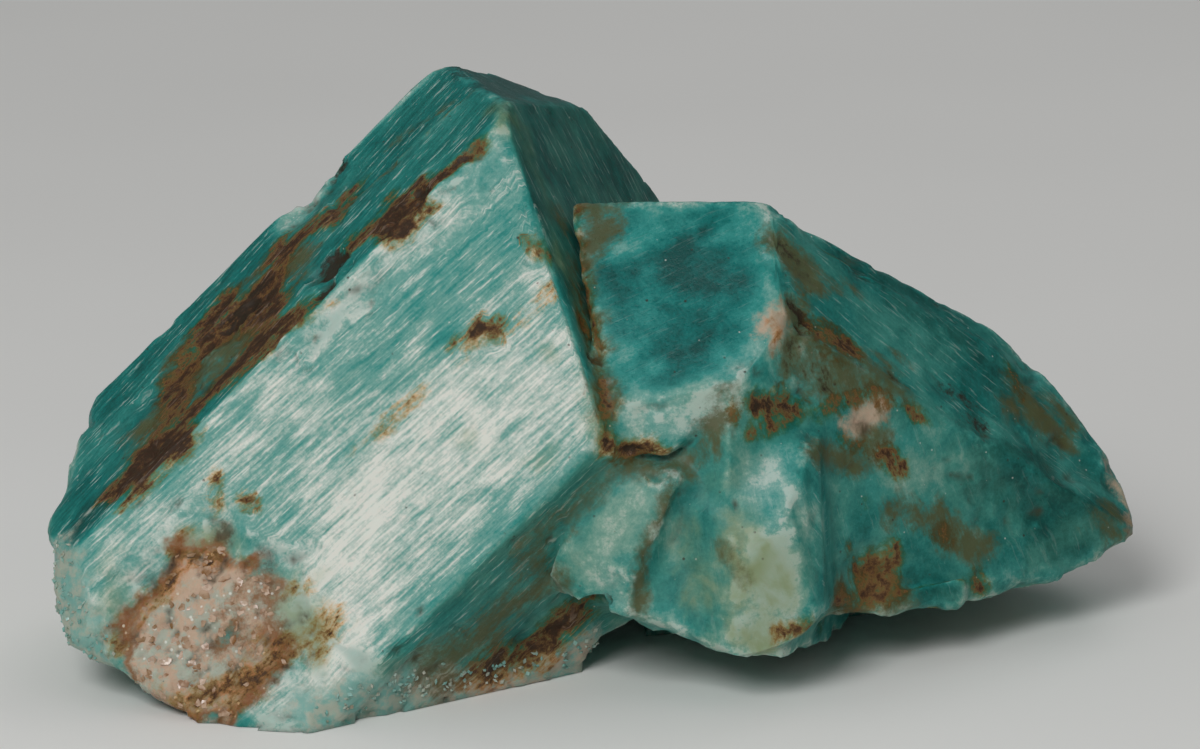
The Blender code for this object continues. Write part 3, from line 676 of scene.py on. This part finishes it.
def fine_crystals(settings):
    """The dressed specimen: one closed mesh of fine triangles with its marks as attributes."""
    bm = merged_copy(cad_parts[NODE])
    corners = np.array([vert.co for vert in bm.verts])
    triangles = np.array([[vert.index for vert in face.verts] for face in bm.faces])
    mesh = bpy.data.meshes.new("amazonite_crystals")
    points, triangles = refined(corners, triangles, settings.spacing)
    mesh.from_pydata(points.tolist(), [], triangles.tolist())
    fine = FineMesh(mesh)
    broken = broken_share(bm, fine)
    gaps = [nearest_distance(fine.points, sharp_edges(bm, outward)) for outward in (True, False)]
    bm.free()
    facets = Facets(fine)
    wander = field(facets.grain / (2.6, 0.7, 1.2), 1.0, 5.5, 3)
    seen = bvhtree.BVHTree.FromPolygons(fine.points.tolist(), fine.triangles.tolist())
    painted = paint_marks(fine, seen, wander)
    for kind, amount in hidden_stains(fine.points, fine.spread(fine.normals(), 3)).items():
        painted[kind] = np.maximum(painted[kind], amount)
    shape_surface(fine, facets, painted, gaps, broken, settings)
    fine.store()
    green = np.maximum(fine.spread(facets.value("green"), 8), fine.spread(painted.pop("green")))
    fine.attribute("green", green)
    for kind, amount in painted.items():
        fine.attribute(kind, fine.spread(amount))
    fine.attribute("grain", facets.grain)
    # Streaks and grain-bound raggedness fade out where two faces meet, because their directions differ.
    inside = facets.inside(fine)
    fine.attribute("inside", inside)
    fine.attribute("streaky", fine.spread(facets.value("streaky"), 6) * (1 - 0.8 * broken) * inside)
    fine.attribute("tone", fine.spread(facets.value("tone"), 8))
    fine.attribute("matt", fine.spread(facets.value("matt"), 4))
    bend = curvature(fine, 6)
    fine.attribute("edge", soft_step(0.02, 0.12, bend))
    fine.attribute("hollow", soft_step(0.03, 0.16, -bend))
    return mesh


def finished(name, data, material=None):
    """A new object at the origin that holds a finished mesh, or a light or camera."""
    if material:
        data.materials.clear()
        data.materials.append(material)
    obj = bpy.data.objects.new(name, data)
    bpy.context.scene.collection.objects.link(obj)
    return obj


class Wiring:
    """Short ways to add and join the nodes of one tree."""

    def __init__(self, tree):
        self.tree = tree

    def add(self, kind, inputs=(), **choices):
        """A new node with its choices made and its inputs set or joined."""
        node = self.tree.nodes.new(kind)
        for name, choice in choices.items():
            setattr(node, name, choice)
        self.fill(node, dict(inputs))
        return node

    def fill(self, node, inputs):
        """Joins inputs of a node to other sockets, or sets them. A colour is three numbers."""
        for key, value in inputs.items():
            socket = node.inputs[key]
            if isinstance(value, bpy.types.NodeSocket):
                self.tree.links.new(value, socket)
            else:
                socket.default_value = (*value, 1.0) if socket.type == "RGBA" else value

    def math(self, operation, *values, clamp=False):
        """The result of one sum on numbers."""
        node = self.add("ShaderNodeMath", enumerate(values), operation=operation, use_clamp=clamp)
        return node.outputs[0]

    def times(self, first, second):
        """Two numbers multiplied."""
        return self.math("MULTIPLY", first, second)

    def plus(self, base, value, share=1.0, clamp=False):
        """A number plus a share of another."""
        return self.math("MULTIPLY_ADD", value, share, base, clamp=clamp)

    def swing(self, value, reach):
        """Noise taken as so much above or below nothing."""
        return self.times(self.math("SUBTRACT", value, 0.5), reach)

    def stretched(self, vector, factors):
        """A vector times a factor for each axis."""
        node = self.add("ShaderNodeVectorMath", {0: vector, 1: factors}, operation="MULTIPLY")
        return node.outputs[0]

    def attribute(self, name, output="Fac"):
        """A named attribute of the mesh."""
        return self.add("ShaderNodeAttribute", attribute_name=name).outputs[output]

    def noise(self, place, scale, detail=2.0, roughness=0.5, distortion=0.0):
        """Soft noise, about 0.25 to 0.75."""
        node = self.add("ShaderNodeTexNoise", {
            "Vector": place, "Scale": scale, "Detail": detail, "Roughness": roughness,
            "Distortion": distortion})
        return node.outputs["Fac"]

    def streaks(self, grain, factors, detail, roughness):
        """Noise drawn out along the grain by a factor for each axis."""
        return self.noise(self.stretched(grain, factors), 1.0, detail, roughness)

    def step(self, value, low, high, to_low=0.0, to_high=1.0):
        """A soft step from to_low, below low, to to_high, above high."""
        node = self.add("ShaderNodeMapRange", {
            0: value, 1: low, 2: high, 3: to_low, 4: to_high}, interpolation_type="SMOOTHSTEP")
        return node.outputs[0]

    def spots(self, place, scale, inner, outer, strength=1.0):
        """Round spots, full inside one radius and gone outside another."""
        cells = self.add("ShaderNodeTexVoronoi", {"Vector": place, "Scale": scale})
        return self.step(cells.outputs["Distance"], inner, outer, strength, 0.0)

    def mixed(self, share, first, second, blend="MIX"):
        """Two colours mixed."""
        node = self.add(
            "ShaderNodeMix", {0: share, 6: first, 7: second}, data_type="RGBA", blend_type=blend)
        return node.outputs[2]


def new_material(name):
    """A material with its wiring, its main shader, and the object's own coordinates in mm."""
    material = bpy.data.materials.new(name)
    material.use_nodes = True
    shader = material.node_tree.nodes["Principled BSDF"]
    wire = Wiring(material.node_tree)
    place = wire.add("ShaderNodeTexCoord").outputs["Object"]
    return material, wire, shader, wire.stretched(place, (1 / MM, 1 / MM, 1 / MM))


def feldspar_tones(wire, tone, settings):
    """Body colour from the clearest teal, at 0, to milky white, at 1."""
    ramp = wire.add("ShaderNodeValToRGB", {"Fac": tone})
    steps = ramp.color_ramp.elements
    steps[0].color = (*settings.deep, 1.0)
    steps[1].color = (*settings.milk, 1.0)
    for place, tint in ((0.25, settings.teal), (0.5, settings.aqua), (0.72, settings.pale)):
        steps.new(place).color = (*tint, 1.0)
    return ramp.outputs["Color"]


def covered(wire, name, ragged, low, high, strength):
    """How much a mark of a given name covers, broken up by ragged noise."""
    amount = wire.attribute(name)
    cover = wire.step(wire.plus(ragged, amount, 0.5), low, high, 0.0, strength)
    return wire.times(cover, wire.step(amount, 0.02, 0.25))


def amazonite_material(settings):
    """Silky blue-green feldspar: cloudy teal and milky zones, fine white streaks, and stains."""
    material, wire, shader, place = new_material("silky_amazonite")
    grain = wire.attribute("grain", "Vector")
    streaky = wire.attribute("streaky")
    clouds = wire.noise(place, 0.33, 6.0, 0.58, 0.5)
    curds = wire.noise(place, 1.1, 6.0, 0.66)
    blots = wire.noise(place, 2.4, 5.0, 0.72)
    sugar = wire.noise(place, 6.0, 3.0, 0.7)
    bands = wire.streaks(grain, (0.10, 0.75, 0.3), 5.0, 0.62)
    lines = wire.streaks(grain, (0.55, 5.2, 1.1), 3.0, 0.6)
    hairs = wire.streaks(grain, (1.3, 11.0, 2.0), 2.0, 0.5)
    fibres = wire.streaks(grain, (0.5, 1.5, 1.0), 6.0, 0.72)

    # The stone's tone, from clear teal to milky white; the silky streaks and milky front also carry a
    # painted sheen, and the edges a painted glow.
    cloudy = wire.plus(wire.swing(clouds, 1.1), wire.swing(curds, 0.65))
    # Silky streaks: white lamellae along the grain that also carry a painted sheen.
    silky = wire.plus(wire.swing(bands, 0.45), wire.swing(lines, 0.75))
    tone = wire.plus(wire.attribute("tone"), wire.attribute("milk"), 0.30)
    tone = wire.plus(tone, wire.attribute("deep"), -0.35)
    tone = wire.plus(tone, silky, streaky)
    tone = wire.plus(tone, cloudy, wire.step(streaky, 0.0, 1.0, 1.0, 0.4))
    # Painted glow: edges that stand out are lightened, for the light that shines through thin rims.
    painted_edge_glow = wire.times(wire.attribute("edge"), wire.step(curds, 0.35, 0.65, 0.05, 0.35))
    tone = wire.plus(tone, painted_edge_glow, wire.step(streaky, 0.3, 0.9, 1.0, 0.2))
    tone = wire.plus(tone, wire.swing(sugar, 0.35), clamp=True)
    tone = wire.math("MINIMUM", tone, wire.step(streaky, 0.2, 0.9, 0.84, 1.0))
    body = feldspar_tones(wire, tone, settings)

    # Painted white glints along the streaks (painted highlights), dust, and dull green zones.
    painted_glints = wire.times(wire.step(lines, 0.57, 0.64), wire.step(hairs, 0.42, 0.58))
    painted_glints = wire.times(painted_glints, streaky)
    body = wire.mixed(wire.times(painted_glints, 0.5), body, settings.milk)
    dust = wire.times(wire.spots(place, 1.3, 0.03, 0.09), wire.step(curds, 0.44, 0.52, 0.6, 0.0))
    body = wire.mixed(dust, body, settings.milk)
    dull = wire.step(clouds, 0.36, 0.6, 0.35, 0.9)
    dull = wire.math("MULTIPLY", wire.attribute("green"), dull, clamp=True)
    body = wire.mixed(dull, body, wire.mixed(tone, settings.green, settings.lime))

    # Broken rims, the stained patch with its silvery inside, and stains from the palest to the darkest.
    ragged = wire.times(wire.swing(fibres, 1.5), wire.attribute("inside"))
    ragged = wire.plus(wire.plus(ragged, wire.swing(blots, 1.0)), wire.swing(lines, 0.8), streaky)
    blotted = wire.swing(blots, 1.2)
    creamy = covered(wire, "cream", blotted, -0.15, 0.42, 0.88)
    bleached = wire.mixed(wire.step(curds, 0.4, 0.6), settings.cream, settings.pale)
    mica = covered(wire, "mica", wire.swing(curds, 1.2), -0.05, 0.40, 0.95)
    silver = wire.mixed(wire.step(curds, 0.42, 0.56), settings.blush, settings.cream)
    inner = wire.plus(wire.attribute("mica"), wire.swing(blots, 1.6))
    patchy = wire.mixed(wire.step(inner, 0.55, 1.25), settings.mica, silver)
    # Painted glints: bright specks of milk colour on the stained patch stand for its highlights.
    painted_glitter = wire.times(wire.spots(place, 2.0, 0.10, 0.22, 0.9), mica)
    patchy = wire.mixed(painted_glitter, patchy, settings.milk)
    soil = wire.times(wire.attribute("hollow"), wire.step(curds, 0.38, 0.58, 0.15, 0.85))
    for cover, tint in (
            (creamy, bleached),
            (mica, patchy),
            (covered(wire, "blush", blotted, -0.05, 0.60, 0.85), settings.blush),
            (covered(wire, "olive", ragged, -0.1, 0.65, 0.88), settings.olive),
            (soil, settings.crevice)):
        body = wire.mixed(cover, body, tint)
    stained = covered(wire, "rust", ragged, -0.1, 0.40, 0.9)
    body = wire.mixed(stained, body, settings.ochre, "MULTIPLY")
    rusty = covered(wire, "rust", ragged, 0.38, 0.56, 0.9)
    specks = wire.times(wire.spots(place, 1.1, 0.04, 0.12), wire.step(curds, 0.5, 0.58, 0.0, 0.8))
    grimy = covered(wire, "grime", wire.times(ragged, 0.7), 0.20, 0.46, 0.94)
    for cover, tint in (
            (covered(wire, "rust", ragged, 0.26, 0.46, 0.8), settings.gold),
            (rusty, settings.rust),
            (covered(wire, "rust", ragged, 0.44, 0.70, 0.95), settings.umber),
            # A painted highlight: the glint mask over the rust, in blush.
            (wire.times(painted_glints, wire.times(rusty, 0.35)), settings.blush),
            (specks, settings.umber),
            (grimy, settings.grime)):
        body = wire.mixed(cover, body, tint)

    # Sheen and relief.
    soiled = wire.math("MAXIMUM", rusty, grimy)
    matt = wire.plus(wire.attribute("matt"), wire.swing(sugar, 0.35))
    for amount, share in ((painted_glints, -0.16), (mica, -0.32), (creamy, -0.14)):
        matt = wire.plus(matt, amount, share)
    matt = wire.plus(matt, soiled, 0.10, clamp=True)
    relief = wire.times(wire.plus(lines, hairs, 0.5), streaky)
    crusty = wire.plus(wire.times(soiled, 1.2), mica, 3.0)
    relief = wire.plus(wire.plus(relief, sugar, 0.5), blots, crusty)
    bump = wire.add("ShaderNodeBump", {"Strength": 0.5, "Distance": 0.00007, "Height": relief})
    wire.fill(shader, {
        "Base Color": body, "Roughness": matt, "Normal": bump.outputs[0], "IOR": 1.53,
        "Specular IOR Level": 0.2, "Subsurface Weight": 0.3, "Subsurface Radius": (0.35, 1.0, 0.9),
        "Subsurface Scale": 0.0009})
    return material


def cleavage_shine(wire, place):
    """Roughness of small cleavage faces, some bright and some dull."""
    return wire.step(wire.noise(place, 5.0), 0.35, 0.65, 0.22, 0.5)


def mica_material(settings):
    """Glinting pinkish brown flakes, some bleached and some rusty."""
    material, wire, shader, place = new_material("mica_flakes")
    bleached = wire.step(wire.noise(place, 1.6, 2.0, 0.6), 0.36, 0.56)
    body = wire.mixed(bleached, settings.mica, settings.blush)
    rusty = wire.step(wire.noise(place, 0.32, 3.0, 0.6), 0.46, 0.60, 0.2, 0.8)
    body = wire.mixed(rusty, body, settings.gold)
    wire.fill(shader, {"Base Color": body, "Roughness": cleavage_shine(wire, place), "IOR": 1.58})
    return material


def grain_material(settings):
    """Sugary cleavage grains: cream to pale aqua, some with a little rust."""
    material, wire, shader, place = new_material("cleavage_grains")
    clear = wire.step(wire.noise(place, 0.8, 3.0, 0.6), 0.38, 0.58)
    body = wire.mixed(clear, settings.cream, settings.pale)
    rusty = wire.step(wire.noise(place, 1.9, 3.0), 0.52, 0.66, 0.0, 0.5)
    body = wire.mixed(rusty, body, settings.gold)
    wire.fill(shader, {
        "Base Color": body, "Roughness": cleavage_shine(wire, place), "IOR": 1.53,
        "Subsurface Weight": 0.2, "Subsurface Radius": (0.6, 1.0, 0.9), "Subsurface Scale": 0.0005})
    return material


def scatter_tree(name, mask, sides, thickness, tilt):
    """A tree that scatters small prisms over a surface where a named attribute is high. Thickness is a
    share of the width, and tilt is in radians."""
    tree = bpy.data.node_groups.new(name, "GeometryNodeTree")
    for label, kind in (("Geometry", "Geometry"), ("Width", "Float"), ("Density", "Float"),
                        ("Seed", "Int"), ("Material", "Material")):
        tree.interface.new_socket(label, in_out="INPUT", socket_type="NodeSocket" + kind)
    tree.interface.new_socket("Geometry", in_out="OUTPUT", socket_type="NodeSocketGeometry")
    wire = Wiring(tree)
    given = wire.add("NodeGroupInput").outputs
    amount = wire.add("GeometryNodeInputNamedAttribute", {"Name": mask}, data_type="FLOAT").outputs[0]
    high = wire.add("ShaderNodeMapRange", {
        0: amount, 1: 0.45, 2: 0.9, 3: 0.0, 4: given["Density"]}).outputs[0]
    place = wire.add("ShaderNodeSeparateXYZ", {0: wire.add("GeometryNodeInputPosition").outputs[0]})
    clear_of_floor = wire.add("ShaderNodeMapRange", {
        0: place.outputs["Z"], 1: 0.4 * MM, 2: 0.7 * MM}).outputs[0]
    points = wire.add("GeometryNodeDistributePointsOnFaces", {
        "Mesh": given["Geometry"], "Density": wire.times(high, clear_of_floor),
        "Seed": given["Seed"]})
    plate = wire.add("GeometryNodeMeshCylinder", {
        "Vertices": sides, "Radius": wire.times(given["Width"], 0.5),
        "Depth": wire.times(given["Width"], thickness)}).outputs["Mesh"]
    lean = wire.add("FunctionNodeRandomValue", {
        0: (-tilt, -tilt, -math.pi), 1: (tilt, tilt, math.pi),
        "ID": wire.add("GeometryNodeInputIndex").outputs[0], "Seed": given["Seed"]},
        data_type="FLOAT_VECTOR").outputs[0]
    lean = wire.add("FunctionNodeEulerToRotation", {0: lean}).outputs[0]
    turned = wire.add("FunctionNodeRotateRotation", {
        0: points.outputs["Rotation"], 1: lean}, rotation_space="LOCAL").outputs[0]
    size = wire.add("FunctionNodeRandomValue", {
        0: (0.45, 0.35, 0.6), 1: (1.35, 0.95, 1.3), "Seed": given["Seed"]}, data_type="FLOAT_VECTOR")
    placed = wire.add("GeometryNodeInstanceOnPoints", {
        "Points": points.outputs["Points"], "Instance": plate, "Rotation": turned,
        "Scale": size.outputs[0]}).outputs[0]
    real = wire.add("GeometryNodeRealizeInstances", {0: placed}).outputs[0]
    done = wire.add("GeometryNodeSetMaterial", {
        "Geometry": real, "Material": given["Material"]}).outputs[0]
    wire.add("NodeGroupOutput", {0: done})
    return tree


def scattered(name, tree, surface, values):
    """The plain mesh that a scatter tree makes on a surface."""
    host = finished(name + "_host", surface.copy())
    modifier = host.modifiers.new("scatter", "NODES")
    modifier.node_group = tree
    for item in tree.interface.items_tree:
        if item.in_out == "INPUT" and item.name in values:
            modifier[item.identifier] = values[item.name]
    bpy.context.view_layer.update()
    depsgraph = bpy.context.evaluated_depsgraph_get()
    mesh = bpy.data.meshes.new_from_object(host.evaluated_get(depsgraph))
    mesh.name = name
    host.modifiers.remove(modifier)
    bpy.data.objects.remove(host, do_unlink=True)
    if not mesh.polygons:
        raise RuntimeError(name + " is empty")
    return finished(name, mesh)


class AMAZONITE_OT_crystals(bpy.types.Operator):
    """Makes the fine crystals in place of the faceted solid"""

    bl_idname = "amazonite.crystals"
    bl_label = "Crystals"

    def execute(self, context):
        settings = context.scene.amazonite_crystals
        crystals = finished("amazonite_crystals", fine_crystals(settings), amazonite_material(settings))
        crystals.data.shade_smooth()
        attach(crystals, BODY)
        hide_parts(NODE)
        return {"FINISHED"}


class AMAZONITE_OT_mica(bpy.types.Operator):
    """Scatters mica flakes over the stained patch"""

    bl_idname = "amazonite.mica"
    bl_label = "Mica Flakes"

    def execute(self, context):
        settings = context.scene.amazonite_crystals
        tree = scatter_tree("scatter_mica", "mica", sides=5, thickness=0.05, tilt=0.20)
        flakes = scattered("mica_flakes", tree, bpy.data.meshes["amazonite_crystals"], {
            "Width": settings.flake, "Density": settings.flake_density, "Seed": 4,
            "Material": mica_material(settings)})
        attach(flakes, BODY)
        return {"FINISHED"}


class AMAZONITE_OT_grains(bpy.types.Operator):
    """Scatters cleavage grains over the broken rims"""

    bl_idname = "amazonite.grains"
    bl_label = "Cleavage Grains"

    def execute(self, context):
        settings = context.scene.amazonite_crystals
        tree = scatter_tree("scatter_grains", "cream", sides=4, thickness=0.55, tilt=0.6)
        grains = scattered("cleavage_grains", tree, bpy.data.meshes["amazonite_crystals"], {
            "Width": settings.grain, "Density": settings.grain_density, "Seed": 9,
            "Material": grain_material(settings)})
        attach(grains, BODY)
        return {"FINISHED"}


def floor_material(settings):
    """Matt pale paper."""
    material, wire, shader, place = new_material("pale_floor")
    tone = wire.step(wire.noise(place, 9.0 * MM, 3.0), 0.3, 0.7, 0.97, 1.03)
    grey = wire.add("ShaderNodeCombineColor", {0: tone, 1: tone, 2: tone}).outputs[0]
    paper = wire.mixed(1.0, settings.floor, grey, "MULTIPLY")
    wire.fill(shader, {"Base Color": paper, "Roughness": 0.85})
    return material


def aimed(name, data, place, back):
    """A light or camera at a place in metres, looking away from a direction at its back."""
    obj = finished(name, data)
    obj.location = place
    obj.rotation_euler = (-back).to_track_quat("-Z", "Y").to_euler()
    return obj


def lamp(name, back, distance, power, size):
    """A square area light that looks at the middle of the specimen."""
    light = bpy.data.lights.new(name, "AREA")
    light.energy = power
    light.size = size
    aimed(name, light, SHOW_TARGET * MM + back * distance, back)


def dome(brightness):
    """Soft surroundings, brightest overhead."""
    world = bpy.data.worlds.new("studio")
    world.use_nodes = True
    wire = Wiring(world.node_tree)
    towards = wire.add("ShaderNodeTexCoord").outputs["Generated"]
    upwards = wire.add("ShaderNodeSeparateXYZ", {0: towards}).outputs["Z"]
    glow = wire.step(upwards, 0.0, 0.9, 0.3 * brightness, brightness)
    wire.fill(world.node_tree.nodes["Background"], {"Color": (1.0, 1.0, 1.0), "Strength": glow})
    return world


class AMAZONITE_OT_stage(bpy.types.Operator):
    """Sets the floor, the lights and the show camera"""

    bl_idname = "amazonite.stage"
    bl_label = "Stage"

    def execute(self, context):
        settings = context.scene.amazonite_stage
        scene = context.scene
        bm = bmesh.new()
        bmesh.ops.create_circle(bm, cap_ends=True, segments=96, radius=FLOOR_RADIUS)
        bmesh.ops.translate(bm, verts=bm.verts, vec=(0, 0, -FLOOR_GAP))
        mesh = bpy.data.meshes.new("floor")
        bm.to_mesh(mesh)
        bm.free()
        finished("floor", mesh, floor_material(settings))
        lamp("key", direction(-110.0, 38.0), distance=0.42, power=settings.key, size=0.16)
        lamp("rim", direction(60.0, 50.0), distance=0.40, power=settings.rim, size=0.20)
        scene.world = dome(settings.fill)
        camera = bpy.data.cameras.new("show_camera")
        camera.sensor_width = SENSOR
        camera.lens = SENSOR * SHOW_DISTANCE / (FRAME_WIDTH * SHOW_PIXEL)
        camera.clip_start = 0.01
        scene.camera = aimed("show_camera", camera, VIEW.eye * MM, VIEW.back)
        scene.view_settings.view_transform = "Standard"
        return {"FINISHED"}


class AMAZONITE_PT_panel(bpy.types.Panel):
    """Lists the steps that make the specimen"""

    bl_label = "Rough Amazonite"
    bl_space_type = "VIEW_3D"
    bl_region_type = "UI"
    bl_category = "Amazonite"

    def draw(self, context):
        for settings in (context.scene.amazonite_crystals, context.scene.amazonite_stage):
            column = self.layout.column()
            for name in settings.__annotations__:
                column.prop(settings, name)
        for operator in OPERATORS:
            self.layout.operator(operator.bl_idname)


OPERATORS = (AMAZONITE_OT_crystals, AMAZONITE_OT_mica, AMAZONITE_OT_grains, AMAZONITE_OT_stage)
CLASSES = (CrystalSettings, StageSettings, *OPERATORS, AMAZONITE_PT_panel)


def register():
    """Adds the classes and the settings."""
    for item in CLASSES:
        bpy.utils.register_class(item)
    bpy.types.Scene.amazonite_crystals = PointerProperty(type=CrystalSettings)
    bpy.types.Scene.amazonite_stage = PointerProperty(type=StageSettings)


def unregister():
    """Takes the classes and the settings away."""
    del bpy.types.Scene.amazonite_stage
    del bpy.types.Scene.amazonite_crystals
    for item in reversed(CLASSES):
        bpy.utils.unregister_class(item)


def main():
    """Makes the specimen and its stage."""
    register()
    bpy.ops.amazonite.crystals()
    bpy.ops.amazonite.mica()
    bpy.ops.amazonite.grains()
    bpy.ops.amazonite.stage()


if __name__ == "__main__":
    main()
